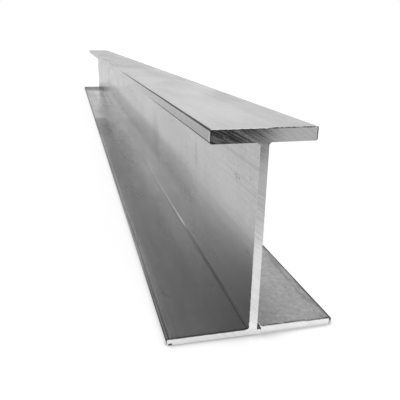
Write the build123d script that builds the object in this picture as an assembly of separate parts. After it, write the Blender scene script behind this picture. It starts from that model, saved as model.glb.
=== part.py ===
from build123d import *
import os

# Steel I-beam: one straight length of stock with a narrow thick top flange, a thin web
# and a wide thin bottom flange, standing on the wide flange as it would on a floor.
# Millimetres. Origin in the middle of the underside, X across, Y along the beam, Z up.

# Overall
LENGTH = 1200.0  # from sawn end to sawn end
HEIGHT = 100.0  # from the underside to the top face

# Section
WEB_THICKNESS = 4.0
TOP_WIDTH = 48.0
TOP_THICKNESS = 6.3
BOTTOM_WIDTH = 84.0
BOTTOM_THICKNESS = 3.2
ROOT_RADIUS = 1.3  # where the web runs into each flange
EDGE_RADIUS = 0.8  # rounded long edges of both flanges
EDGE_WALL_SHARE = 0.45  # most of a flange's thickness that one rounded edge may take

# Front end, sawn from two sides: the cut through the right half of the bottom flange
# stops behind the main cut and leaves a stub of the flange beside the web
SAW_STEP = 1.2  # from the main cut back to the right-hand cut
STUB_WIDTH = 1.7  # stub beside the web, at the flange's top face
STUB_LEAN = 0.4  # further the stub reaches at the underside

# Gouge that the blade left in the root beside the web, running out along the beam
GOUGE_WIDTH = 2.3
GOUGE_DEPTH = 0.7  # below the flange's top face, at the sawn end
GOUGE_LENGTH = 12.0  # from the sawn end to where it leaves the root fillet

CUT_OVERRUN = 2.0  # how far every cut runs past the metal it removes

web_face = WEB_THICKNESS / 2
front_end = -LENGTH / 2


def edge_radius(flange_thickness):
    """Radius of a flange's long edges, held to what its thickness can take."""
    return min(EDGE_RADIUS, EDGE_WALL_SHARE * flange_thickness)


def flange(width, thickness, underside):
    """One flange of the section, its four long edges rounded."""
    bar = Rectangle(width, thickness, align=(Align.CENTER, Align.MIN))
    bar = fillet(bar.vertices(), edge_radius(thickness))
    return Pos(0, underside) * bar


def beam_section():
    """The I outline: two flanges and the web, with a fillet in each root."""
    web_foot = BOTTOM_THICKNESS / 2
    web_head = HEIGHT - TOP_THICKNESS / 2
    web = Rectangle(WEB_THICKNESS, web_head - web_foot, align=(Align.CENTER, Align.MIN))
    top_flange = flange(TOP_WIDTH, TOP_THICKNESS, HEIGHT - TOP_THICKNESS)
    outline = flange(BOTTOM_WIDTH, BOTTOM_THICKNESS, 0) + Pos(0, web_foot) * web + top_flange
    roots = outline.vertices().sort_by(lambda corner: abs(corner.X))[:4]
    return fillet(roots, ROOT_RADIUS)


def right_hand_saw_cut():
    """What the second saw cut takes off the right half of the bottom flange's end."""
    above = BOTTOM_THICKNESS + CUT_OVERRUN
    lean_per_mm = STUB_LEAN / BOTTOM_THICKNESS
    stub_top = web_face + STUB_WIDTH
    outside = BOTTOM_WIDTH / 2 + CUT_OVERRUN
    outline = Polyline(
        (stub_top - CUT_OVERRUN * lean_per_mm, above),
        (stub_top + STUB_LEAN + CUT_OVERRUN * lean_per_mm, -CUT_OVERRUN),
        (outside, -CUT_OVERRUN),
        (outside, above),
        close=True,
    )
    cut_plane = Plane.XZ.offset(-front_end - SAW_STEP)
    return extrude(cut_plane * make_face(outline), SAW_STEP + CUT_OVERRUN)


def root_gouge():
    """Tapering gouge beside the web, deepest at the sawn end."""
    floor_at_end = BOTTOM_THICKNESS - GOUGE_DEPTH
    floor_at_run_out = BOTTOM_THICKNESS + ROOT_RADIUS
    slope = (floor_at_run_out - floor_at_end) / GOUGE_LENGTH
    outline = Polyline(
        (front_end - CUT_OVERRUN, floor_at_end - slope * CUT_OVERRUN),
        (front_end + GOUGE_LENGTH, floor_at_run_out),
        (front_end - CUT_OVERRUN, floor_at_run_out),
        close=True,
    )
    return extrude(Plane.YZ.offset(web_face) * make_face(outline), GOUGE_WIDTH)


def i_beam():
    """The beam, drawn out to its length and sawn at the front end."""
    beam = extrude(Plane.XZ * beam_section(), LENGTH / 2, both=True)
    return beam - right_hand_saw_cut() - root_gouge()


os.makedirs("parts", exist_ok=True)
export_step(i_beam(), "parts/i_beam.step")
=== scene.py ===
import math
import bmesh
import bpy
from mathutils import Matrix, Vector
from mathutils.geometry import delaunay_2d_cdt


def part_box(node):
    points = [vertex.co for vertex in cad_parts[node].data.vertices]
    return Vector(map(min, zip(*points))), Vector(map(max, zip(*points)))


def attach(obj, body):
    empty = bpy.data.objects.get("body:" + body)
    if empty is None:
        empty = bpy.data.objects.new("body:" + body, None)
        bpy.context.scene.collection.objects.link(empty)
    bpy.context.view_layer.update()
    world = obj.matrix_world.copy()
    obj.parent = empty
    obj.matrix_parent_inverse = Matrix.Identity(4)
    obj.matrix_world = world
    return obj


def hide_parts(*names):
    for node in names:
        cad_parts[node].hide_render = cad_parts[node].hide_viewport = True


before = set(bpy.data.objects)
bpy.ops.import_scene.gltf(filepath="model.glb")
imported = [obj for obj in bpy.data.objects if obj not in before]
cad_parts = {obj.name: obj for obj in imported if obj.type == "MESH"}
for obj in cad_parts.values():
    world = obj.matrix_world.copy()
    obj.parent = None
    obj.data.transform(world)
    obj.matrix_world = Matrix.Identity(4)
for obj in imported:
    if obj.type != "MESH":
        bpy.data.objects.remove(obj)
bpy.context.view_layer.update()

# Sizes of the beam, in metres
MM = 0.001
LOW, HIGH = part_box("i_beam")
FRONT_END = LOW.y
BACK_END = HIGH.y
HEIGHT = HIGH.z
BOTTOM_WIDTH = HIGH.x - LOW.x
BOTTOM_THICKNESS = 3.2 * MM
TOP_WIDTH = 48.0 * MM
TOP_THICKNESS = 6.3 * MM
WEB_THICKNESS = 4.0 * MM
ROOT_RADIUS = 1.3 * MM
EDGE_RADIUS = 0.8 * MM

# Sawn front end
SAW_STEP = 1.2 * MM
STUB_WIDTH = 1.7 * MM
STUB_LEAN = 0.4 * MM
GOUGE_WIDTH = 2.3 * MM
GOUGE_DEPTH = 0.7 * MM
GOUGE_LENGTH = 12.0 * MM
CUT_OVERRUN = 2.0 * MM

# Fineness of the meshes
ARC_STEPS = 6
OUTLINE_STEP = 2.0 * MM
STATIONS = 72
STATION_BUNCHING = 1.6
SAWN_GRID = 0.36 * MM
SAWN_RIM = 0.14 * MM
JOIN_DISTANCE = 0.001 * MM
END_FACING = 0.99

# Saw marks: shallow arcs round the blade's centre
BLADE_CENTRE = Vector((-0.14, 0.0, -0.14))
SAW_PITCH = 1.2 * MM
SAW_DEPTH = 0.014 * MM

# Rubbed spots and dark scratches on the web's left face
# Each has its place along from the front end, its place up, half its length and half its height
WEB_RUBS = (
    (262.0 * MM, 47.0 * MM, 26.0 * MM, 30.0 * MM),
    (107.0 * MM, 64.0 * MM, 5.0 * MM, 14.0 * MM),
)
WEB_SCRATCHES = (
    (8.4 * MM, 40.0 * MM, 4.0 * MM, 4.5 * MM),
    (27.2 * MM, 71.2 * MM, 7.0 * MM, 3.0 * MM),
    (9.0 * MM, 75.5 * MM, 3.0 * MM, 2.0 * MM),
)

# Burrs along the sawn edges
BURR_STEP = 0.22 * MM
BURR_SIZE = 0.26 * MM
BURR_LEAST_SHARE = 0.06
GOUGE_BURR_SIZE = 0.48 * MM
GOUGE_BURR_LEAST_SHARE = 0.75
BURR_SEED = 3.0

# Scales of the noises, in cells to a metre
SMUDGE_SCALE = 38.0
GRAIN_SCALE = 420.0
RAG_SCALE = 600.0
TOOTH_SCALE = 1400.0
DRIFT_SCALE = 60.0
COARSE_SAW_SCALE = 900.0
FINE_SAW_SCALE = 2400.0

# Tones and roughness of the finishes, each spread over a noise
MILL_TONE = (0.555, 0.585)
MILL_GRAIN = (-0.034, 0.034)
MILL_LINES = (-0.01, 0.01)
MILL_ROUGHNESS = (0.28, 0.22)
SAWN_TONE = (0.83, 0.94)
SAWN_GRAIN = (-0.025, 0.025)
SAWN_ROUGHNESS = (0.14, 0.26)
# The torn metal in the gouge is painted dark, as painted shade in the gouge
TORN_SHADE_TONE = (0.1, 0.42)
TORN_ROUGHNESS = (0.45, 0.7)
# Burrs are painted pale, as painted glints on the real burrs
BURR_TONE = (0.85, 0.97)
BURR_ROUGHNESS = (0.4, 0.55)

# Grain of the rough finishes: scale, detail and roughness of its noise
TORN_GRAIN = (1800.0, 3.0, 0.6)
BURR_GRAIN = (1500.0, 2.0, 0.5)

# Painted glints: the top flange's upper sawn edge is painted pale, and there and on the burrs the metal
# hardly mirrors
EDGE_GLINT_TONE = 0.9
BURR_METALLIC = 0.15

# What the painted shade along the rounded edges and on the sawn faces' dark rims leaves of the tone
EDGE_SHADE_SHARE = 0.08
RIM_SHADE_SHARE = 0.12

# Floor: half its size, its tone and glow for each kind of look, and the reach of its contact shadow
FLOOR_HALF = 8.0
FLOOR_TONE = 0.9
FLOOR_SEEN_TONE = 0.3
FLOOR_SEEN_GLOW = 0.78
FLOOR_MIRRORED_GLOW = 0.18
SHADOW_REACH = 0.03
SHADOW_SAMPLES = 16

# Card: brightness of its upper part and its foot, and what its dark corner leaves of it
CARD_TONE = (0.46, 0.6)
CARD_DARK_SHARE = 0.04

WHITE = (1.0, 1.0, 1.0, 1.0)
BLACK = (0.0, 0.0, 0.0, 1.0)

# Ceiling as the steel mirrors it: height as a share, and brightness
CEILING = (
    (0.0, 0.92),
    (0.2, 0.9),
    (0.3, 0.85),
    (0.44, 0.78),
    (0.5, 0.7),
    (0.55, 0.46),
    (0.61, 0.28),
    (0.68, 0.16),
    (1.0, 0.12),
)


def new_object(name, data):
    """Links a new object at the origin."""
    made = bpy.data.objects.new(name, data)
    bpy.context.scene.collection.objects.link(made)
    return made


class Nodes:
    """Short hand for filling a node tree."""

    def __init__(self, tree):
        self.tree = tree

    def add(self, kind, links=None, **settings):
        """Adds a node, sets its properties and feeds its inputs."""
        node = self.tree.nodes.new(kind)
        for key, value in settings.items():
            setattr(node, key, value)
        self.feed(node, links or {})
        return node

    def feed(self, node, links):
        """Feeds a node's inputs with values or sockets."""
        for key, value in links.items():
            socket = node.inputs[key]
            if isinstance(value, bpy.types.NodeSocket):
                self.tree.links.new(value, socket)
            else:
                socket.default_value = value

    def math(self, operation, first, second=0.0, third=0.0, clamp=False):
        """One Math node's result."""
        links = {0: first, 1: second, 2: third}
        return self.add("ShaderNodeMath", links, operation=operation, use_clamp=clamp).outputs[0]

    def vector(self, operation, first, second=(0.0, 0.0, 0.0)):
        """One Vector Math node's vector result."""
        node = self.add("ShaderNodeVectorMath", {0: first, 1: second}, operation=operation)
        return node.outputs["Vector"]

    def length(self, vector):
        """A vector's length."""
        return self.add("ShaderNodeVectorMath", {0: vector}, operation="LENGTH").outputs["Value"]

    def below(self, value, bound):
        """1 where a value lies below a bound, else 0."""
        return self.math("LESS_THAN", value, bound)

    def above(self, value, bound):
        """1 where a value lies above a bound, else 0."""
        return self.math("GREATER_THAN", value, bound)

    def most(self, first, second):
        """The larger of two values."""
        return self.math("MAXIMUM", first, second)

    def span(self, value, low, high, to_low=0.0, to_high=1.0):
        """Maps low to high onto another range, held at both ends."""
        links = {"Value": value, "From Min": low, "From Max": high, "To Min": to_low, "To Max": to_high}
        return self.add("ShaderNodeMapRange", links, interpolation_type="SMOOTHSTEP").outputs["Result"]

    def noise(self, vector, scale, detail=2.0, roughness=0.5):
        """Noise from 0 to 1, most of it near the middle."""
        links = {"Vector": vector, "Scale": scale, "Detail": detail, "Roughness": roughness}
        return self.add("ShaderNodeTexNoise", links).outputs[0]

    def spread(self, noise, low, high):
        """Spreads most of a noise's values over a range."""
        return self.span(noise, 0.3, 0.7, low, high)

    def product(self, *factors):
        """All factors multiplied."""
        result = factors[0]
        for factor in factors[1:]:
            result = self.math("MULTIPLY", result, factor)
        return result

    def tint(self, tone, mask, share):
        """A tone, held where the mask is 0 and brought to a share of itself where it is 1."""
        return self.math("MULTIPLY", tone, self.span(mask, 0.0, 1.0, 1.0, share))


def geometry_tree(name, inputs):
    """A new Geometry Nodes tree with a geometry in, a geometry out and named float inputs."""
    tree = bpy.data.node_groups.new(name, "GeometryNodeTree")
    tree.interface.new_socket("Geometry", in_out="INPUT", socket_type="NodeSocketGeometry")
    for key in inputs:
        tree.interface.new_socket(key, in_out="INPUT", socket_type="NodeSocketFloat")
    tree.interface.new_socket("Geometry", in_out="OUTPUT", socket_type="NodeSocketGeometry")
    nodes = Nodes(tree)
    return nodes, nodes.add("NodeGroupInput").outputs


def close_tree(nodes, geometry, material, chosen=True):
    """Ends a tree in Realize Instances and Set Material."""
    real = nodes.add("GeometryNodeRealizeInstances", {"Geometry": geometry})
    links = {"Geometry": real.outputs[0], "Selection": chosen, "Material": material}
    painted = nodes.add("GeometryNodeSetMaterial", links)
    nodes.add("NodeGroupOutput", {"Geometry": painted.outputs[0]})


def run_tree(piece, nodes, values):
    """Puts the tree on a piece as a modifier, with its inputs set by identifier."""
    modifier = piece.modifiers.new(nodes.tree.name, "NODES")
    modifier.node_group = nodes.tree
    for item in nodes.tree.interface.items_tree:
        if item.in_out == "INPUT" and item.name in values:
            modifier[item.identifier] = values[item.name]


def take_mesh(piece, name):
    """The evaluated piece as a plain mesh. The piece itself is removed."""
    graph = bpy.context.evaluated_depsgraph_get()
    mesh = bpy.data.meshes.new_from_object(piece.evaluated_get(graph))
    mesh.name = name
    data = piece.data
    bpy.data.objects.remove(piece)
    if isinstance(data, bpy.types.Mesh):
        bpy.data.meshes.remove(data)
    else:
        bpy.data.curves.remove(data)
    return mesh


# Finishes


def new_material(name, metallic=1.0):
    """A material with one Principled shader, and its nodes."""
    material = bpy.data.materials.new(name)
    material.use_nodes = True
    material.node_tree.nodes.clear()
    nodes = Nodes(material.node_tree)
    shader = nodes.add("ShaderNodeBsdfPrincipled", {"Metallic": metallic})
    nodes.add("ShaderNodeOutputMaterial", {"Surface": shader.outputs[0]})
    return material, nodes, shader


def grey(nodes, value):
    """A grey colour from one value."""
    return nodes.add("ShaderNodeCombineColor", {0: value, 1: value, 2: value}).outputs[0]


class Surface:
    """Where a point lies: across the beam, along it from the front end, and up, in metres."""

    def __init__(self, nodes):
        self.nodes = nodes
        self.place = nodes.add("ShaderNodeTexCoord").outputs["Object"]
        axes = nodes.add("ShaderNodeSeparateXYZ", {0: self.place}).outputs
        self.across, self.up = axes[0], axes[2]
        self.along = nodes.math("SUBTRACT", axes[1], FRONT_END)
        self.wide = nodes.math("ABSOLUTE", axes[0])

    def noise(self, scale, along_share=1.0, up_share=1.0, detail=3.0, roughness=0.6):
        """Noise over the surface, drawn out along the beam or upwards where a share is below 1."""
        drawn = self.nodes.vector("MULTIPLY", self.place, (1.0, along_share, up_share))
        return self.nodes.noise(drawn, scale, detail, roughness)

    def smudges(self):
        """Soft blots, drawn out along the beam."""
        return self.noise(SMUDGE_SCALE, along_share=0.3, roughness=0.5)

    def left(self):
        """1 left of the middle."""
        return self.nodes.below(self.across, 0.0)

    def raised(self):
        """1 in the upper half."""
        return self.nodes.above(self.up, HEIGHT / 2)

    def lowered(self):
        """1 in the lower half."""
        return self.nodes.below(self.up, HEIGHT / 2)

    def on_bottom(self):
        """1 on the bottom flange."""
        return self.nodes.below(self.up, 1.5 * BOTTOM_THICKNESS)

    def on_crown(self):
        """1 on the top face."""
        return self.nodes.above(self.up, HEIGHT - 0.2 * EDGE_RADIUS)

    def on_web(self):
        """1 in line with the web."""
        return self.nodes.below(self.wide, 0.51 * WEB_THICKNESS)

    def near(self, full, gone, least=0.0, most=1.0):
        """Most near the sawn end, fading to least along the beam."""
        return self.nodes.span(self.along, gone, full, least, most)

    def far(self, none, full):
        """1 far along the beam, fading in from 0."""
        return self.nodes.span(self.along, none, full)

    def between(self, value, low, high, soft):
        """1 between two bounds, fading over a soft border outside them."""
        rise = self.nodes.span(value, low - soft, low)
        return self.nodes.product(rise, self.nodes.span(value, high + soft, high))

    def specks(self, scale, size, share):
        """Dots at random places, in patches that cover a share of the surface."""
        links = {"Vector": self.place, "Scale": scale}
        cells = self.nodes.add("ShaderNodeTexVoronoi", links).outputs["Distance"]
        patches = self.nodes.noise(self.place, 0.35 * scale)
        edge = 0.7 - 0.4 * share
        dots = self.nodes.span(cells, size, 0.5 * size)
        return self.nodes.product(dots, self.nodes.span(patches, edge, edge + 0.08))


def blade_reach(nodes, place):
    """How far a place lies from the blade's centre, seen along the beam."""
    from_blade = nodes.vector("SUBTRACT", place, tuple(BLADE_CENTRE))
    return nodes.length(nodes.vector("MULTIPLY", from_blade, (1.0, 0.0, 1.0)))


def bare_tone(nodes, at):
    """Drawn steel by itself: soft smudges, a fine grain and lines along the beam."""
    grain = at.noise(GRAIN_SCALE, along_share=0.6, detail=4.0, roughness=0.75)
    lines = at.noise(GRAIN_SCALE, along_share=0.0015)
    tone = nodes.spread(at.smudges(), *MILL_TONE)
    tone = nodes.math("ADD", tone, nodes.spread(grain, *MILL_GRAIN))
    return nodes.math("ADD", tone, nodes.spread(lines, *MILL_LINES))


def bottom_flange_tone(nodes, at, tone):
    """Left half paler along its edge near the sawn end; right half darker towards the web as painted shade,
    and stained, specked and scorched.
    """
    low = at.on_bottom()
    root = WEB_THICKNESS / 2 + ROOT_RADIUS
    half = BOTTOM_WIDTH / 2
    left = nodes.product(low, nodes.below(at.across, -root))
    right = nodes.product(low, nodes.above(at.across, root))

    pale = nodes.product(nodes.span(at.across, -0.66 * half, -0.88 * half), at.near(full=0.14, gone=0.3))
    tone = nodes.tint(tone, nodes.product(left, pale), share=1.22)
    rim = nodes.product(nodes.span(at.across, -0.86 * half, -0.93 * half), at.near(full=0.08, gone=0.14))
    tone = nodes.tint(tone, nodes.product(left, rim), share=1.2)
    band = nodes.product(left, nodes.span(at.across, -0.42 * half, -0.64 * half))
    tone = nodes.tint(tone, nodes.product(band, at.between(at.along, 0.3, 0.63, soft=0.04)), share=0.87)

    # Painted shade on the right half, darker towards the web
    tone = nodes.tint(tone, nodes.product(right, nodes.span(at.across, 0.5 * half, 0.14 * half)), share=0.84)
    pale = at.between(at.across, 0.57 * half, 0.86 * half, soft=0.14 * half)
    tone = nodes.tint(tone, nodes.product(right, pale), share=1.1)
    spots = at.noise(GRAIN_SCALE, detail=4.0, roughness=0.7)
    tone = nodes.tint(tone, nodes.product(right, nodes.span(spots, 0.35, 0.65, 0.5, 0.9)), share=0.7)
    tone = nodes.tint(tone, nodes.product(right, at.specks(560.0, size=0.3, share=0.4)), share=0.5)
    scorched = at.near(full=SAW_STEP + 0.5 * MM, gone=SAW_STEP + 1.4 * MM)
    ragged = nodes.span(at.noise(380.0, roughness=0.65), 0.46, 0.54)
    curl = WEB_THICKNESS / 2 + 1.2 * GOUGE_WIDTH
    clear = nodes.span(at.across, curl, curl + 0.4 * GOUGE_WIDTH)
    tone = nodes.tint(tone, nodes.product(right, scorched, ragged, clear), share=0.3)
    strip = nodes.span(at.across, 0.8 * half, 0.92 * half)
    streaks = nodes.span(at.noise(GRAIN_SCALE, along_share=0.2), 0.35, 0.65)
    return nodes.tint(tone, nodes.product(right, strip, streaks), share=0.62)


def top_flange_tone(nodes, at, tone):
    """Top face darker to the right and further along, scuffed at its right edge. Its left side is duller."""
    crown = at.on_crown()
    half = TOP_WIDTH / 2
    near_right = nodes.product(nodes.span(at.across, 0.2 * half, 0.4 * half), at.near(full=0.1, gone=0.2))
    far_left = nodes.product(nodes.span(at.across, 0.7 * half, 0.3 * half), at.far(none=0.13, full=0.27))
    tone = nodes.tint(tone, nodes.product(crown, nodes.most(near_right, far_left)), share=0.89)
    stain = nodes.product(crown, nodes.span(at.across, 0.2 * half, 0.8 * half))
    clouds = nodes.span(at.noise(70.0, along_share=0.4), 0.42, 0.66)
    tone = nodes.tint(tone, nodes.product(stain, clouds), share=0.86)
    tone = nodes.tint(tone, nodes.product(crown, at.specks(120.0, size=0.09, share=0.35)), share=0.55)
    scuffed_and_shaded = nodes.product(nodes.span(at.across, 0.84 * half, 0.95 * half), at.far(none=0.12, full=0.25))
    patches = nodes.span(at.noise(90.0, along_share=0.15), 0.5, 0.58)
    tone = nodes.tint(tone, nodes.product(crown, scuffed_and_shaded, patches), share=0.6)

    raised = at.raised()
    side = nodes.product(raised, nodes.below(at.across, -0.99 * half))
    tone = nodes.tint(tone, nodes.product(side, at.near(full=0.16, gone=0.32)), share=0.8)
    tone = nodes.tint(tone, nodes.product(side, at.near(full=0.07, gone=0.13)), share=0.84)
    tone = nodes.tint(tone, nodes.product(side, at.near(full=1.5 * MM, gone=4.0 * MM)), share=1.3)
    flecks = nodes.span(at.noise(700.0, along_share=0.5), 0.46, 0.6)
    return nodes.tint(tone, nodes.product(side, flecks), share=0.84)


def web_blot(nodes, at, along, up, length, height):
    """A soft oval on the web's left face."""
    lengthwise = nodes.math("DIVIDE", nodes.math("SUBTRACT", at.along, along), length)
    upwards = nodes.math("DIVIDE", nodes.math("SUBTRACT", at.up, up), height)
    away = nodes.add("ShaderNodeCombineXYZ", {0: lengthwise, 1: upwards}).outputs[0]
    return nodes.product(nodes.span(nodes.length(away), 1.0, 0.2), at.left())


def web_tone(nodes, at, tone):
    """Wipes and fine straight lines on the web, with a few rubbed spots and dark scratches."""
    web = at.on_web()
    wipes = at.noise(26.0, up_share=0.25)
    tone = nodes.tint(tone, nodes.product(web, nodes.span(wipes, 0.48, 0.68)), share=0.95)
    lines = at.noise(1100.0, along_share=0.001, detail=2.0, roughness=0.5)
    scratches = nodes.span(lines, 0.54, 0.64)
    zone = nodes.product(at.near(full=0.02, gone=0.16), at.between(at.up, 0.026, 0.05, soft=0.012))
    upper = nodes.product(at.near(full=0.02, gone=0.09), at.between(at.up, 0.07, 0.09, soft=0.01))
    zone = nodes.most(zone, upper)
    tone = nodes.tint(tone, nodes.product(web, scratches, zone), share=0.84)
    for rub in WEB_RUBS:
        tone = nodes.tint(tone, nodes.product(web, web_blot(nodes, at, *rub)), share=0.82)
    rag = nodes.span(at.noise(900.0, along_share=0.5), 0.5, 0.58)
    for scratch in WEB_SCRATCHES:
        blot = nodes.product(web, web_blot(nodes, at, *scratch), rag)
        tone = nodes.tint(tone, blot, share=0.5)
    return tone


def bottom_root(nodes, at):
    """1 in the roots of the bottom flange."""
    foot, web = BOTTOM_THICKNESS, WEB_THICKNESS / 2
    beside = nodes.span(at.wide, web + ROOT_RADIUS, web + 0.65 * ROOT_RADIUS)
    return nodes.product(beside, nodes.span(at.up, foot + ROOT_RADIUS, foot + 0.7 * ROOT_RADIUS))


def dark_root(nodes, at):
    """Darkening in the bottom roots near the sawn end, thinning out along the beam."""
    thinning = at.near(full=0.03, gone=0.16, least=0.5)
    return nodes.product(bottom_root(nodes, at), thinning, at.near(full=0.125, gone=0.15))


def root_tone(nodes, at, tone):
    """Darker in the bottom roots near the sawn end and at the foot of the sawn end, and darker in the roots
    further along.
    """
    foot, within, darkened = BOTTOM_THICKNESS, bottom_root(nodes, at), dark_root(nodes, at)
    upper = nodes.span(at.up, foot + 0.2 * ROOT_RADIUS, foot + 0.5 * ROOT_RADIUS)
    tone = nodes.tint(tone, nodes.product(upper, darkened), share=0.6)
    tone = nodes.tint(tone, darkened, share=0.38)
    tone = nodes.tint(tone, nodes.product(within, at.far(none=0.14, full=0.2)), share=0.78)
    tone = nodes.tint(tone, nodes.product(within, at.far(none=0.22, full=0.36)), share=0.8)
    end = nodes.product(at.near(full=0.5 * MM, gone=1.6 * MM), nodes.span(at.up, 0.042, 0.028))
    return nodes.tint(tone, nodes.product(end, at.left()), share=0.5)


def back_end_tone(nodes, at, tone):
    """Dark smudges low on the web near the back end, and a dark end to the bottom flange."""
    length = BACK_END - FRONT_END
    back = at.far(none=0.74 * length, full=0.9 * length)
    foot = nodes.span(at.up, 0.3 * HEIGHT, 0.12 * HEIGHT)
    inner = nodes.span(at.wide, 0.3 * BOTTOM_WIDTH, 0.12 * BOTTOM_WIDTH)
    smudge = nodes.product(back, foot, inner, nodes.span(at.noise(45.0, along_share=0.4), 0.34, 0.54))
    tone = nodes.tint(tone, smudge, share=0.66)
    low = at.on_bottom()
    tone = nodes.tint(tone, nodes.product(low, at.far(none=0.88 * length, full=0.97 * length)), share=0.7)
    rim = nodes.product(low, nodes.span(at.across, -0.38 * BOTTOM_WIDTH, -0.46 * BOTTOM_WIDTH))
    return nodes.tint(tone, nodes.product(rim, at.far(none=0.4 * length, full=0.55 * length)), share=0.85)


def shaded_edges(nodes, at):
    """Painted shade along the flanges' rounded edges, strongest near the sawn end."""
    left = at.left()
    right = nodes.math("SUBTRACT", 1.0, left)
    raised = at.raised()
    lowered = nodes.math("SUBTRACT", 1.0, raised)
    half = TOP_WIDTH / 2
    high_tip = nodes.span(at.wide, half - 0.55 * EDGE_RADIUS, half - 0.35 * EDGE_RADIUS)
    depth = nodes.math("SUBTRACT", HEIGHT, at.up)
    line = at.near(full=0.01, gone=0.16, least=0.8 * EDGE_RADIUS, most=1.15 * EDGE_RADIUS)
    crown = nodes.span(nodes.math("SUBTRACT", depth, line), 0.3 * EDGE_RADIUS, 0.0)
    crown = nodes.product(crown, at.near(full=0.2, gone=0.42, least=0.06))
    head = HEIGHT - TOP_THICKNESS
    under = nodes.span(at.up, head + 1.3 * EDGE_RADIUS, head + EDGE_RADIUS)
    under = nodes.product(under, at.near(full=0.09, gone=0.18, least=0.05))
    high = nodes.product(raised, left, high_tip, nodes.most(crown, under))

    half = BOTTOM_WIDTH / 2
    low_tip = nodes.span(at.wide, half - 1.55 * EDGE_RADIUS, half - 1.2 * EDGE_RADIUS)
    right_top = nodes.product(right, nodes.span(at.up, 0.6 * BOTTOM_THICKNESS, 0.7 * BOTTOM_THICKNESS))
    left_side = nodes.span(at.up, 0.85 * BOTTOM_THICKNESS, 0.7 * BOTTOM_THICKNESS, 0.66, 1.0)
    left_side = nodes.product(left, left_side, at.near(full=0.0, gone=0.12, least=0.6))
    inner = nodes.span(at.across, -half + 2.2 * EDGE_RADIUS, -half + 1.7 * EDGE_RADIUS)
    outer = nodes.span(at.across, -half + 1.1 * EDGE_RADIUS, -half + 1.5 * EDGE_RADIUS)
    inner_edge_shade = nodes.product(inner, outer, at.near(full=0.1, gone=0.25, most=0.5))
    low = nodes.product(low_tip, nodes.most(right_top, left_side))
    return nodes.most(high, nodes.product(lowered, nodes.most(low, inner_edge_shade)))


def reflection_shade(nodes, at):
    """How much shine is left at a grazing look, from 0 to 1: painted shade in the reflections on the web and
    the bottom flange, and less shine in the bottom roots and on the top face further along.
    """
    length = BACK_END - FRONT_END
    left = at.left()
    low = nodes.product(left, at.on_bottom())
    back = nodes.product(low, at.far(none=0.87 * length, full=0.97 * length))
    shine = nodes.span(back, 0.0, 1.0, 1.0, 0.5)
    outer = nodes.product(low, nodes.span(at.across, -0.21 * BOTTOM_WIDTH, -0.32 * BOTTOM_WIDTH))
    band = nodes.product(at.far(none=0.4, full=0.58), at.near(full=0.63, gone=0.66))
    shine = nodes.tint(shine, nodes.product(outer, band), share=0.77)
    shine = nodes.tint(shine, nodes.product(outer, at.far(none=0.72, full=0.82)), share=0.88)

    web = nodes.product(left, at.on_web())
    # A stripe of painted shade along the web's left face
    stripe = at.between(at.up, 0.033, 0.044, soft=0.014)
    scuffed_and_shaded = nodes.product(stripe, at.between(at.along, 0.15, 0.74, soft=0.08))
    shine = nodes.tint(shine, nodes.product(web, scuffed_and_shaded), share=0.78)
    # A slanting band of painted shade on the web, far along
    slant = nodes.math("MULTIPLY_ADD", at.along, 0.115, at.up)
    streak = nodes.product(nodes.span(slant, 0.12, 0.128), nodes.span(slant, 0.157, 0.136))
    shine = nodes.tint(shine, nodes.product(web, streak, at.far(none=0.72, full=0.84)), share=0.7)

    shine = nodes.tint(shine, dark_root(nodes, at), share=0.5)
    crown = at.on_crown()
    return nodes.tint(shine, nodes.product(crown, at.far(none=0.28, full=0.48)), share=0.92)


def mill_finish():
    """Bare drawn steel with the marks of handling."""
    material, nodes, shader = new_material("mill_finish_steel")
    at = Surface(nodes)
    tone = bare_tone(nodes, at)
    for area in (bottom_flange_tone, top_flange_tone, web_tone, root_tone, back_end_tone):
        tone = area(nodes, at, tone)
    # Painted shade along the rounded edges, broken into patches
    patchy = nodes.span(at.noise(260.0, along_share=0.05), 0.25, 0.5, 0.7, 1.0)
    edge = nodes.product(shaded_edges(nodes, at), patchy)
    tone = nodes.tint(tone, edge, EDGE_SHADE_SHARE)

    dull = nodes.spread(at.smudges(), *MILL_ROUGHNESS)
    dull = nodes.math("ADD", dull, nodes.math("MULTIPLY", edge, 0.2))
    low_edge = nodes.product(edge, at.lowered())
    # The lower edges keep less shine, as painted shade in their reflections
    shine = nodes.tint(reflection_shade(nodes, at), low_edge, share=0.2)
    links = {"Base Color": grey(nodes, tone), "Specular Tint": grey(nodes, shine), "Roughness": dull}
    nodes.feed(shader, links)
    return material


def upper_rim(nodes, at, rag):
    """Painted shade on the top flange's sawn face, where its burrs and rounded edges lie in shadow: its upper
    lip, broken to the right, and its tips.
    """
    raised = at.raised()
    broken = nodes.math("SUBTRACT", rag, nodes.span(at.across, -0.01, 0.015, -0.08, 0.01))
    lip = nodes.span(at.up, HEIGHT - 0.62 * MM, HEIGHT - 0.42 * MM)
    lip = nodes.product(lip, nodes.span(broken, 0.46, 0.52))
    half = TOP_WIDTH / 2
    tips = nodes.span(at.wide, half - 0.6 * MM, half - 0.35 * MM)
    return nodes.most(lip, nodes.product(raised, tips, nodes.span(rag, 0.36, 0.5)))


def upper_edge_glints(nodes, at, rag):
    """Pale painted glints along the top flange's upper sawn edge, left of the web."""
    frayed = nodes.math("MULTIPLY_ADD", nodes.math("SUBTRACT", rag, 0.5), 0.9 * MM, at.up)
    edge = nodes.span(frayed, HEIGHT - 0.4 * MM, HEIGHT - 0.25 * MM)
    return nodes.product(edge, nodes.span(at.across, 0.006, 0.0))


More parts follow.
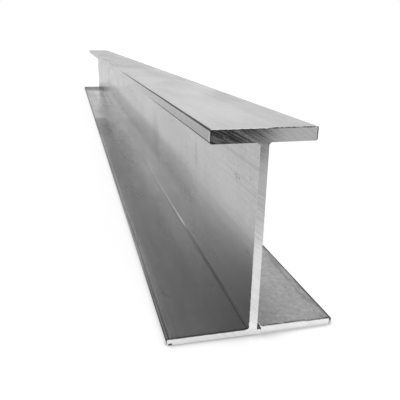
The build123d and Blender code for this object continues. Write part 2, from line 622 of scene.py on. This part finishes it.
def lower_rim(nodes, at, rag):
    """Painted shade on the bottom flange's sawn face: along its upper lip, under its hooked tips and in the
    corner beside the stub.
    """
    lowered = at.lowered()
    web, half = WEB_THICKNESS / 2, BOTTOM_WIDTH / 2
    beside = nodes.span(at.wide, web + 0.8 * ROOT_RADIUS, web + 1.6 * ROOT_RADIUS)
    line = nodes.span(at.across, -0.002, 0.006, 0.25 * MM, 0.45 * MM)
    drop = nodes.math("SUBTRACT", BOTTOM_THICKNESS, at.up)
    frayed = nodes.math("MULTIPLY_ADD", nodes.math("SUBTRACT", rag, 0.5), 0.8 * MM, drop)
    lip = nodes.product(beside, nodes.span(nodes.math("SUBTRACT", frayed, line), 0.15 * MM, -0.05 * MM))
    lip = nodes.tint(lip, at.between(at.across, 0.008, 0.026, soft=0.005), share=0.5)
    curl = at.between(at.across, web + 0.9 * GOUGE_WIDTH, web + 1.5 * GOUGE_WIDTH, soft=0.2 * MM)
    lip = nodes.tint(lip, curl, share=0.0)

    foot = nodes.span(at.up, 0.34 * BOTTOM_THICKNESS, 0.22 * BOTTOM_THICKNESS)
    left_hook = at.between(at.across, -half + 0.8 * MM, -half + 2.3 * MM, soft=0.3 * MM)
    right_hook = nodes.span(at.across, half - 1.5 * MM, half - 1.2 * MM, 0.0, 0.6)
    hooks = nodes.product(foot, nodes.most(left_hook, right_hook))
    knob = nodes.span(at.across, half - 1.3 * MM, half - 1.0 * MM)
    knob = nodes.product(knob, nodes.span(at.up, 0.3 * BOTTOM_THICKNESS, 0.45 * BOTTOM_THICKNESS))
    tips = nodes.most(hooks, knob)

    # Painted shade in the corner beside the stub
    stub = web + STUB_WIDTH
    behind = nodes.above(at.along, SAW_STEP / 2)
    corner = nodes.span(at.across, stub + 1.15 * MM, stub + 0.8 * MM)
    stub_corner_shade = nodes.span(at.up, 0.2 * BOTTOM_THICKNESS, 0.4 * BOTTOM_THICKNESS)
    stub_corner_shade = nodes.product(behind, corner, stub_corner_shade, nodes.above(at.across, web))
    dark = nodes.most(nodes.most(lip, tips), stub_corner_shade)
    return nodes.product(lowered, dark)


def sawn_steel():
    """Freshly sawn steel: bright, with the blade's streaks, painted shade on its rims and on the top flange's
    face left of the web, the bottom flange's set-back cut painted brighter, and pale painted glints along the
    top edge.
    """
    material, nodes, shader = new_material("sawn_steel")
    at = Surface(nodes)
    drift = nodes.math("MULTIPLY", nodes.noise(at.place, DRIFT_SCALE, detail=1.0), 0.0015)
    ring = nodes.add("ShaderNodeCombineXYZ", {0: blade_reach(nodes, at.place), 1: drift}).outputs[0]
    coarse = nodes.noise(ring, COARSE_SAW_SCALE, detail=3.0, roughness=0.55)
    fine = nodes.noise(ring, FINE_SAW_SCALE, roughness=0.6)
    tone = nodes.spread(coarse, *SAWN_TONE)
    tone = nodes.math("ADD", tone, nodes.spread(fine, *SAWN_GRAIN))

    raised = at.raised()
    # Painted reflection: the real saw streaks left of the web on the top flange's face are darkened further
    far_left = nodes.product(raised, nodes.span(at.across, -0.004, -0.013))
    tone = nodes.tint(tone, nodes.product(far_left, nodes.span(coarse, 0.53, 0.45)), share=0.72)
    # Painted shade and highlight: the bottom flange's first cut is a little darker, its set-back second cut
    # brighter
    low = nodes.below(at.up, BOTTOM_THICKNESS)
    second_cut = nodes.above(at.along, SAW_STEP / 2)
    tone = nodes.tint(tone, nodes.product(low, nodes.span(second_cut, 1.0, 0.0)), share=0.95)
    brighter = nodes.tint(tone, nodes.product(low, second_cut), share=1.1)
    tone = nodes.math("MINIMUM", brighter, 1.0)

    rag = nodes.noise(at.place, RAG_SCALE, detail=4.0, roughness=0.75)
    web_edge = nodes.span(at.across, 0.37 * WEB_THICKNESS, 0.42 * WEB_THICKNESS)
    upright = at.between(at.up, 0.3 * HEIGHT, 0.9 * HEIGHT, soft=MM)
    nicks = nodes.product(web_edge, nodes.product(upright, nodes.span(rag, 0.58, 0.64)))
    # Painted shade on the sawn faces' rims; the web's edge nicks are darkened too
    rim_shade = nodes.most(upper_rim(nodes, at, rag), lower_rim(nodes, at, rag))
    tone = nodes.tint(tone, nodes.most(rim_shade, nicks), RIM_SHADE_SHARE)
    # Pale painted glints along the top flange's upper sawn edge
    glints = upper_edge_glints(nodes, at, rag)
    tone = nodes.most(tone, nodes.math("MULTIPLY", glints, EDGE_GLINT_TONE))

    dull = nodes.spread(coarse, *SAWN_ROUGHNESS)
    relief = nodes.math("ADD", coarse, nodes.math("MULTIPLY", fine, 0.25))
    bump = nodes.add("ShaderNodeBump", {"Strength": 0.24, "Distance": 0.0002, "Height": relief})
    links = {"Base Color": grey(nodes, tone), "Roughness": dull, "Normal": bump.outputs[0]}
    links["Metallic"] = nodes.span(glints, 0.0, 1.0, 1.0, BURR_METALLIC)
    nodes.feed(shader, links)
    return material


def rough_steel(name, grain, tone, roughness, metallic=1.0):
    """Rough metal with one fine grain, as in the gouge and on the burrs."""
    material, nodes, shader = new_material(name, metallic)
    place = nodes.add("ShaderNodeTexCoord").outputs["Object"]
    grain = nodes.noise(place, *grain)
    base = grey(nodes, nodes.spread(grain, *tone))
    nodes.feed(shader, {"Base Color": base, "Roughness": nodes.spread(grain, *roughness)})
    return material


# Shapes


def arc(centre, radius, start, turn):
    """Points of an arc in the section, angles in degrees."""
    points = []
    for step in range(ARC_STEPS + 1):
        angle = math.radians(start + turn * step / ARC_STEPS)
        points.append(centre + radius * Vector((math.cos(angle), math.sin(angle))))
    return points


def right_half():
    """The right half of the I outline, from the middle of the underside to the middle of the top."""
    foot, head = BOTTOM_THICKNESS, HEIGHT - TOP_THICKNESS
    low_tip, high_tip = BOTTOM_WIDTH / 2 - EDGE_RADIUS, TOP_WIDTH / 2 - EDGE_RADIUS
    root = WEB_THICKNESS / 2 + ROOT_RADIUS
    points = arc(Vector((low_tip, EDGE_RADIUS)), EDGE_RADIUS, -90, 90)
    points += arc(Vector((low_tip, foot - EDGE_RADIUS)), EDGE_RADIUS, 0, 90)
    points += arc(Vector((root, foot + ROOT_RADIUS)), ROOT_RADIUS, 270, -90)
    points += arc(Vector((root, head - ROOT_RADIUS)), ROOT_RADIUS, 180, -90)
    points += arc(Vector((high_tip, head + EDGE_RADIUS)), EDGE_RADIUS, -90, 90)
    points += arc(Vector((high_tip, HEIGHT - EDGE_RADIUS)), EDGE_RADIUS, 0, 90)
    return points


def outline():
    """The whole I outline, counter-clockwise, with its long runs divided."""
    half = right_half()
    corners = half + [Vector((-p.x, p.y)) for p in reversed(half)]
    points = []
    for here, there in zip(corners, corners[1:] + corners[:1]):
        parts = max(1, round((there - here).length / OUTLINE_STEP))
        points += [here.lerp(there, part / parts) for part in range(parts)]
    return points


def outline_curve():
    """The outline as a closed curve, drawn upside down because the sweep turns it over."""
    points = outline()
    curve = bpy.data.curves.new("section", "CURVE")
    curve.dimensions = "3D"
    spline = curve.splines.new("POLY")
    spline.points.add(len(points) - 1)
    for slot, point in zip(spline.points, points):
        slot.co = (point.x, -point.y, 0.0, 1.0)
    spline.use_cyclic_u = True
    return new_object("section", curve)


def drawing_tree(finish):
    """Draws the section out along the beam. Its stations bunch towards the front end."""
    names = ("Front", "Back", "Stations", "Bunching")
    nodes, given = geometry_tree("draw_beam", names)
    line = nodes.add("GeometryNodeCurvePrimitiveLine", {"End": (0.0, 1.0, 0.0)})
    count = nodes.add("FunctionNodeFloatToInt", {0: given["Stations"]})
    path = nodes.add("GeometryNodeResampleCurve", {"Curve": line.outputs[0], "Count": count.outputs[0]})
    part = nodes.add("GeometryNodeSplineParameter").outputs["Factor"]
    share = nodes.math("POWER", part, given["Bunching"])
    length = nodes.math("SUBTRACT", given["Back"], given["Front"])
    station = nodes.math("MULTIPLY_ADD", share, length, given["Front"])
    spot = nodes.add("ShaderNodeCombineXYZ", {1: station}).outputs[0]
    placed = nodes.add("GeometryNodeSetPosition", {"Geometry": path.outputs[0], "Position": spot})
    level = nodes.add("GeometryNodeSetCurveNormal", {"Curve": placed.outputs[0]}, mode="Z_UP")
    links = {"Curve": level.outputs[0], "Profile Curve": given["Geometry"], "Fill Caps": True}
    drawn = nodes.add("GeometryNodeCurveToMesh", links)
    close_tree(nodes, drawn.outputs[0], finish)
    return nodes


def prism(name, points, plane, depth, finish):
    """A closed prism for cutting: a flat outline on a plane, given depth along its normal."""
    mesh = bpy.data.meshes.new(name)
    shape = bmesh.new()
    face = shape.faces.new([shape.verts.new(plane(point)) for point in points])
    grown = bmesh.ops.extrude_face_region(shape, geom=[face])
    moved = [item for item in grown["geom"] if isinstance(item, bmesh.types.BMVert)]
    bmesh.ops.translate(shape, verts=moved, vec=depth)
    bmesh.ops.recalc_face_normals(shape, faces=shape.faces)
    shape.to_mesh(mesh)
    shape.free()
    mesh.materials.append(finish)
    return new_object(name, mesh)


def right_hand_saw_cut(finish):
    """What the second saw cut takes off the right half of the bottom flange's end."""
    above = BOTTOM_THICKNESS + CUT_OVERRUN
    lean = STUB_LEAN / BOTTOM_THICKNESS
    stub = WEB_THICKNESS / 2 + STUB_WIDTH
    outside = BOTTOM_WIDTH / 2 + CUT_OVERRUN
    points = (
        (stub - CUT_OVERRUN * lean, above),
        (stub + STUB_LEAN + CUT_OVERRUN * lean, -CUT_OVERRUN),
        (outside, -CUT_OVERRUN),
        (outside, above),
    )
    cut = FRONT_END + SAW_STEP
    depth = Vector((0.0, -SAW_STEP - CUT_OVERRUN, 0.0))
    return prism("right_hand_saw_cut", points, lambda p: (p[0], cut, p[1]), depth, finish)


def root_gouge(finish):
    """Tapering gouge beside the web, deepest at the sawn end."""
    floor, run_out = BOTTOM_THICKNESS - GOUGE_DEPTH, BOTTOM_THICKNESS + ROOT_RADIUS
    slope = (run_out - floor) / GOUGE_LENGTH
    points = (
        (FRONT_END - CUT_OVERRUN, floor - slope * CUT_OVERRUN),
        (FRONT_END + GOUGE_LENGTH, run_out),
        (FRONT_END - CUT_OVERRUN, run_out),
    )
    web_face = WEB_THICKNESS / 2
    depth = Vector((GOUGE_WIDTH, 0.0, 0.0))
    return prism("root_gouge", points, lambda p: (web_face, p[0], p[1]), depth, finish)


def drawn_and_cut(mill, sawn, torn):
    """The drawn beam with its two cuts, as a plain mesh."""
    beam = outline_curve()
    values = {"Front": FRONT_END, "Back": BACK_END, "Stations": STATIONS, "Bunching": STATION_BUNCHING}
    run_tree(beam, drawing_tree(mill), values)
    beam_mesh = take_mesh(beam, "drawn_beam")
    shape = bmesh.new()
    shape.from_mesh(beam_mesh)
    bmesh.ops.recalc_face_normals(shape, faces=shape.faces)
    shape.to_mesh(beam_mesh)
    shape.free()
    beam = new_object("drawn_beam", beam_mesh)
    cutters = [right_hand_saw_cut(sawn), root_gouge(torn)]
    for cutter in cutters:
        cut = beam.modifiers.new(cutter.name, "BOOLEAN")
        cut.object = cutter
        cut.operation = "DIFFERENCE"
        cut.solver = "EXACT"
        cut.material_mode = "TRANSFER"
    mesh = take_mesh(beam, "cut_beam")
    for cutter in cutters:
        data = cutter.data
        bpy.data.objects.remove(cutter)
        bpy.data.meshes.remove(data)
    return mesh


def inside(point, margin):
    """Whether a point of the section lies inside the metal by a margin."""
    x, z = abs(point.x), point.y
    if margin < z < BOTTOM_THICKNESS - margin and x < BOTTOM_WIDTH / 2 - EDGE_RADIUS:
        return True
    if HEIGHT - TOP_THICKNESS + margin < z < HEIGHT - margin and x < TOP_WIDTH / 2 - EDGE_RADIUS:
        return True
    return x < WEB_THICKNESS / 2 - margin and margin < z < HEIGHT - margin


def section_grid():
    """Points spread over the section, for filling a sawn face finely."""
    columns = round(BOTTOM_WIDTH / SAWN_GRID)
    rows = round(HEIGHT / SAWN_GRID)
    points = []
    for row in range(rows + 1):
        for column in range(columns + 1):
            stagger = 0.5 * (row % 2)
            point = Vector((LOW.x + (column + stagger) * SAWN_GRID, row * SAWN_GRID))
            if inside(point, SAWN_RIM):
                points.append(point)
    return points


def fill_sawn_face(shape, face, grid, depth_layer):
    """Replaces one flat sawn face by a fine mesh inside the same rim."""
    rim = list(face.verts)
    level = rim[0].co.y
    edge = [Vector((vert.co.x, vert.co.z)) for vert in rim]
    low = Vector((min(p.x for p in edge), min(p.y for p in edge)))
    high = Vector((max(p.x for p in edge), max(p.y for p in edge)))
    kept = [p for p in grid if low.x + SAWN_RIM < p.x < high.x - SAWN_RIM and low.y < p.y < high.y]
    loops = [(i, (i + 1) % len(edge)) for i in range(len(edge))]
    inside_only, nearest = 1, 1e-5
    found = delaunay_2d_cdt([p / MM for p in edge + kept], loops, [], inside_only, nearest)
    flip = face.normal.y > 0
    material = face.material_index
    shape.faces.remove(face)
    verts = []
    for spot, origins in zip(found[0], found[3]):
        on_rim = [i for i in origins if i < len(rim)]
        if on_rim:
            verts.append(rim[on_rim[0]])
        else:
            vert = shape.verts.new((spot.x * MM, level, spot.y * MM))
            vert[depth_layer] = 1.0
            verts.append(vert)
    for corners in found[2]:
        ring = [verts[i] for i in corners]
        made = shape.faces.new(ring)
        made.material_index = material
        made.normal_update()
        if (made.normal.y > 0) != flip:
            made.normal_flip()


def fill_sawn_ends(mesh, sawn):
    """Gives every flat end face its own finish and a fine mesh for the saw marks."""
    shape = bmesh.new()
    shape.from_mesh(mesh)
    bmesh.ops.remove_doubles(shape, verts=shape.verts, dist=JOIN_DISTANCE)
    shape.faces.ensure_lookup_table()
    depth_layer = shape.verts.layers.float.new("saw_depth")
    index = mesh.materials.find(sawn.name)
    grid = section_grid()
    ends = [face for face in shape.faces if abs(face.normal.y) > END_FACING]
    for face in ends:
        face.material_index = index
        fill_sawn_face(shape, face, grid, depth_layer)
    shape.to_mesh(mesh)
    shape.free()
    return mesh


def saw_mark_tree(sawn):
    """Presses the blade's arcs into the sawn faces."""
    nodes, given = geometry_tree("saw_marks", ("Pitch", "Depth"))
    place = nodes.add("GeometryNodeInputPosition").outputs[0]
    turns = nodes.math("DIVIDE", blade_reach(nodes, place), given["Pitch"])
    ring = nodes.add("ShaderNodeCombineXYZ", {0: turns}).outputs[0]
    mark = nodes.noise(ring, 1.0)
    fresh = nodes.add("GeometryNodeInputNamedAttribute", {"Name": "saw_depth"}, data_type="FLOAT")
    outward = nodes.math("SIGN", nodes.add("ShaderNodeSeparateXYZ", {0: place}).outputs[1])
    # The noise averages a half, so twice the depth makes the marks average the depth
    inward = -2.0
    depth = nodes.product(mark, given["Depth"], fresh.outputs[0], outward, inward)
    offset = nodes.add("ShaderNodeCombineXYZ", {1: depth}).outputs[0]
    pressed = nodes.add("GeometryNodeSetPosition", {"Geometry": given["Geometry"], "Offset": offset})
    faces = nodes.add("GeometryNodeMaterialSelection", {"Material": sawn})
    close_tree(nodes, pressed.outputs[0], sawn, faces.outputs[0])
    return nodes


def edge_lines(name, runs):
    """Straight runs as the edges of one mesh."""
    mesh = bpy.data.meshes.new(name)
    points = [end for run in runs for end in run]
    mesh.from_pydata(points, [(2 * i, 2 * i + 1) for i in range(len(runs))], [])
    return new_object(name, mesh)


def sawn_edges():
    """The edges of the front end that carry a burr, as lines along the cut."""
    web, foot, head = WEB_THICKNESS / 2, BOTTOM_THICKNESS, HEIGHT - TOP_THICKNESS
    clear = ROOT_RADIUS
    main_cut = FRONT_END + BURR_SIZE
    top_tip = TOP_WIDTH / 2 - EDGE_RADIUS
    runs = (
        ((web, main_cut, foot + 4 * clear), (web, main_cut, head - clear)),
        ((-web, main_cut, head - clear), (-web, main_cut, foot + clear)),
        ((-top_tip, main_cut, head), (-web - clear, main_cut, head)),
        ((web + clear, main_cut, head), (top_tip, main_cut, head)),
    )
    return edge_lines("sawn_edges", runs)


def gouge_edge():
    """The edge that the gouge leaves in the flange's top face and up the root."""
    web, foot = WEB_THICKNESS / 2, BOTTOM_THICKNESS
    slope = (GOUGE_DEPTH + ROOT_RADIUS) / GOUGE_LENGTH
    points = [(web + GOUGE_WIDTH, FRONT_END + SAW_STEP, foot)]
    points.append((web + GOUGE_WIDTH, FRONT_END + GOUGE_DEPTH / slope, foot))
    centre = Vector((web + ROOT_RADIUS, foot + ROOT_RADIUS))
    for spot in arc(centre, ROOT_RADIUS, 270, -70):
        points.append((spot.x, FRONT_END + (spot.y - foot + GOUGE_DEPTH) / slope, spot.y))
    return edge_lines("gouge_edge", tuple(zip(points, points[1:])))


def burr_tree(finish):
    """A ragged lip of metal along each sawn edge, never thinner than a least share of its size."""
    nodes, given = geometry_tree("burrs", ("Step", "Size", "Least Share", "Seed"))
    path = nodes.add("GeometryNodeMeshToCurve", {"Mesh": given["Geometry"]})
    links = {"Curve": path.outputs[0], "Length": given["Step"]}
    even = nodes.add("GeometryNodeResampleCurve", links, mode="LENGTH")
    place = nodes.add("GeometryNodeInputPosition").outputs[0]
    moved = nodes.add("ShaderNodeCombineXYZ", {0: given["Seed"], 1: given["Seed"]}).outputs[0]
    ragged = nodes.noise(nodes.vector("ADD", place, moved), TOOTH_SCALE, detail=3.0, roughness=0.7)
    tooth = nodes.span(ragged, 0.5, 0.7, given["Least Share"], 1.0)
    size = nodes.math("MULTIPLY", tooth, given["Size"])
    section = nodes.add("GeometryNodeCurvePrimitiveCircle", {"Resolution": 4, "Radius": 1.0})
    links = {"Curve": even.outputs[0], "Profile Curve": section.outputs[0], "Scale": size, "Fill Caps": True}
    swept = nodes.add("GeometryNodeCurveToMesh", links)
    close_tree(nodes, swept.outputs[0], finish)
    return nodes


def i_beam():
    """The whole beam as one mesh: drawn, cut, sawn and burred."""
    mill, sawn = mill_finish(), sawn_steel()
    torn = rough_steel("torn_steel", TORN_GRAIN, TORN_SHADE_TONE, TORN_ROUGHNESS)
    burr = rough_steel("burr_steel", BURR_GRAIN, BURR_TONE, BURR_ROUGHNESS, BURR_METALLIC)
    mesh = fill_sawn_ends(drawn_and_cut(mill, sawn, torn), sawn)
    marked = new_object("marked_beam", mesh)
    run_tree(marked, saw_mark_tree(sawn), {"Pitch": SAW_PITCH, "Depth": SAW_DEPTH})
    marked_mesh = take_mesh(marked, "marked_beam")
    burrs = burr_tree(burr)
    burr_meshes = []
    sawn_burrs = (sawn_edges(), BURR_SIZE, BURR_LEAST_SHARE)
    gouge_burrs = (gouge_edge(), GOUGE_BURR_SIZE, GOUGE_BURR_LEAST_SHARE)
    for edges, size, least in (sawn_burrs, gouge_burrs):
        run_tree(edges, burrs, {"Step": BURR_STEP, "Size": size, "Least Share": least, "Seed": BURR_SEED})
        burr_meshes.append(take_mesh(edges, "burrs"))

    shape = bmesh.new()
    shape.from_mesh(marked_mesh)
    before = len(shape.faces)
    for burr_mesh in burr_meshes:
        shape.from_mesh(burr_mesh)
        bpy.data.meshes.remove(burr_mesh)
    shape.faces.ensure_lookup_table()
    marked_mesh.materials.append(burr)
    index = marked_mesh.materials.find(burr.name)
    for face in shape.faces[before:]:
        face.material_index = index
    shape.to_mesh(marked_mesh)
    shape.free()
    return new_object("i_beam_dressed", marked_mesh)


# Stage, light and camera


def flat_sheet(name, corners, material):
    """One flat face with a material."""
    mesh = bpy.data.meshes.new(name)
    mesh.from_pydata(corners, [], [(0, 1, 2, 3)])
    mesh.materials.append(material)
    return new_object(name, mesh)


def floor_mirrored(nodes, at):
    """The floor as the steel mirrors it, with painted shade: a darker patch to the left, darker far off and
    before the sawn end.
    """
    patch, stretch = (-0.16, FRONT_END + 0.52, 0.0), (10.0, 2.0, 0.0)
    away = nodes.vector("MULTIPLY", nodes.vector("SUBTRACT", at.place, patch), stretch)
    # Painted shade: a darker patch to the left, and darker far off
    dull = nodes.span(nodes.length(away), 1.1, 0.2, 0.0, 0.26)
    dull = nodes.math("ADD", dull, nodes.span(at.along, 0.5, 1.3, 0.12, 0.24))
    far_left = nodes.product(nodes.span(at.across, -0.09, -0.115), at.far(none=0.75, full=1.2))
    mirrored = nodes.math("SUBTRACT", 1.0, nodes.math("MULTIPLY_ADD", far_left, 0.12, dull))
    # Painted shade in the mirrored floor just before the sawn end
    return nodes.math("SUBTRACT", mirrored, nodes.span(at.along, -0.004, -0.018, 0.0, 0.2))


def floor_lit(nodes, at):
    """The floor as the eye sees it: 1, and less in the shadow where the sawn end stands on it."""
    links = {"Distance": SHADOW_REACH}
    sky = nodes.add("ShaderNodeAmbientOcclusion", links, samples=SHADOW_SAMPLES).outputs["AO"]
    hidden = nodes.math("SUBTRACT", 1.0, sky)
    narrow = nodes.product(hidden, hidden, 2.8)
    broad = nodes.span(hidden, 0.13, 0.3, 0.0, 0.5)
    to_right = nodes.span(at.across, -0.002, 0.006)
    contact = nodes.add("ShaderNodeMix", {"Factor": to_right, "A": narrow, "B": broad}).outputs[0]
    alongside = nodes.span(to_right, 0.0, 1.0, 0.45, 0.12)
    contact = nodes.product(contact, nodes.span(at.along, 0.004, -0.001, alongside, 1.0))
    return nodes.math("SUBTRACT", 1.0, contact, clamp=True)


def floor():
    """A wide white floor that keeps the beam's shadow."""
    material, nodes, shader = new_material("white_floor", metallic=0.0)
    at = Surface(nodes)
    path = nodes.add("ShaderNodeLightPath").outputs
    direct = nodes.most(path["Is Camera Ray"], path["Is Transmission Ray"])
    mirror = path["Is Glossy Ray"]
    lit = floor_lit(nodes, at)
    base = nodes.add("ShaderNodeMix", {"Factor": mirror, "A": FLOOR_TONE, "B": floor_mirrored(nodes, at)})
    seen = nodes.math("MULTIPLY", lit, FLOOR_SEEN_TONE)
    base = nodes.add("ShaderNodeMix", {"Factor": direct, "A": base.outputs[0], "B": seen})
    glow = nodes.product(direct, lit, FLOOR_SEEN_GLOW)
    glow = nodes.math("MULTIPLY_ADD", mirror, FLOOR_MIRRORED_GLOW, glow)
    links = {"Base Color": grey(nodes, base.outputs[0]), "Roughness": 0.9, "Specular IOR Level": 0.0}
    nodes.feed(shader, links)
    nodes.feed(shader, {"Emission Color": WHITE, "Emission Strength": glow})
    far = FLOOR_HALF
    corners = [(-far, -far, 0.0), (far, -far, 0.0), (far, far, 0.0), (-far, far, 0.0)]
    return flat_sheet("floor", corners, material)


def grey_card():
    """A card before the sawn end, grey with a dark upper left, which only reflections see."""
    material, nodes, shader = new_material("grey_card", metallic=0.0)
    at = Surface(nodes)
    dark = nodes.product(nodes.span(at.across, 0.055, 0.037), nodes.span(at.up, 0.057, 0.069))
    light = nodes.tint(nodes.span(at.up, 0.035, 0.0, *CARD_TONE), dark, CARD_DARK_SHARE)
    nodes.feed(shader, {"Base Color": BLACK, "Specular IOR Level": 0.0})
    nodes.feed(shader, {"Emission Color": grey(nodes, light), "Emission Strength": 1.0})
    left, right, top, ahead = -0.03, 0.13, 0.13, FRONT_END - 0.1
    corners = [(left, ahead, 0.0), (right, ahead, 0.0), (right, ahead, top), (left, ahead, top)]
    card = flat_sheet("grey_card", corners, material)
    card.visible_camera = False
    card.visible_diffuse = False
    card.visible_shadow = False
    card.visible_transmission = False
    return card


def studio():
    """Even white light, with a ceiling that reflections see getting darker overhead and to the left."""
    world = bpy.data.worlds.new("studio")
    bpy.context.scene.world = world
    world.use_nodes = True
    world.node_tree.nodes.clear()
    world.cycles.sampling_method = "NONE"
    nodes = Nodes(world.node_tree)
    towards = nodes.add("ShaderNodeTexCoord").outputs["Generated"]
    tilt = Vector((-0.35, 0.1, 1.0)).normalized()
    links = {0: towards, 1: tuple(tilt)}
    height = nodes.add("ShaderNodeVectorMath", links, operation="DOT_PRODUCT").outputs["Value"]
    ramp = nodes.add("ShaderNodeValToRGB", {"Fac": height})
    elements = ramp.color_ramp.elements
    while len(elements) < len(CEILING):
        elements.new(0.5)
    for element, (spot, value) in zip(elements, CEILING):
        element.position = spot
        element.color = (value, value, value, 1.0)
    path = nodes.add("ShaderNodeLightPath").outputs
    ceiling = nodes.add("ShaderNodeBackground", {"Color": ramp.outputs[0], "Strength": 1.0})
    white = nodes.add("ShaderNodeBackground", {"Color": WHITE, "Strength": 1.0})
    links = {0: path["Is Glossy Ray"], 1: white.outputs[0], 2: ceiling.outputs[0]}
    whole = nodes.add("ShaderNodeMixShader", links)
    nodes.add("ShaderNodeOutputWorld", {"Surface": whole.outputs[0]})


def camera():
    """The camera where the photograph was taken from."""
    image_width = 400.0
    focal_pixels = 477.12
    shift_pixels = 14.0
    yaw, pitch, roll = math.radians(13.355), math.radians(18.773), math.radians(0.670)
    data = bpy.data.cameras.new("camera")
    data.sensor_width = 36.0
    data.lens = data.sensor_width * focal_pixels / image_width
    data.shift_x = shift_pixels / image_width
    data.clip_start = 0.01
    ahead_level = Vector((math.sin(yaw), math.cos(yaw), 0.0))
    right_level = Vector((math.cos(yaw), -math.sin(yaw), 0.0))
    upright = Vector((0.0, 0.0, 1.0))
    ahead = math.cos(pitch) * ahead_level - math.sin(pitch) * upright
    up_level = math.sin(pitch) * ahead_level + math.cos(pitch) * upright
    right = math.cos(roll) * right_level + math.sin(roll) * up_level
    up = math.cos(roll) * up_level - math.sin(roll) * right_level
    turn = Matrix((right, up, -ahead)).transposed()
    place = Vector((-77.361 * MM, FRONT_END - 183.82 * MM, 134.79 * MM))
    made = new_object("camera", data)
    made.matrix_world = Matrix.Translation(place) @ turn.to_4x4()
    bpy.context.scene.camera = made


bpy.context.scene.view_settings.view_transform = "Standard"
beam = i_beam()
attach(beam, "root")
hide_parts("i_beam")
floor()
grey_card()
studio()
camera()
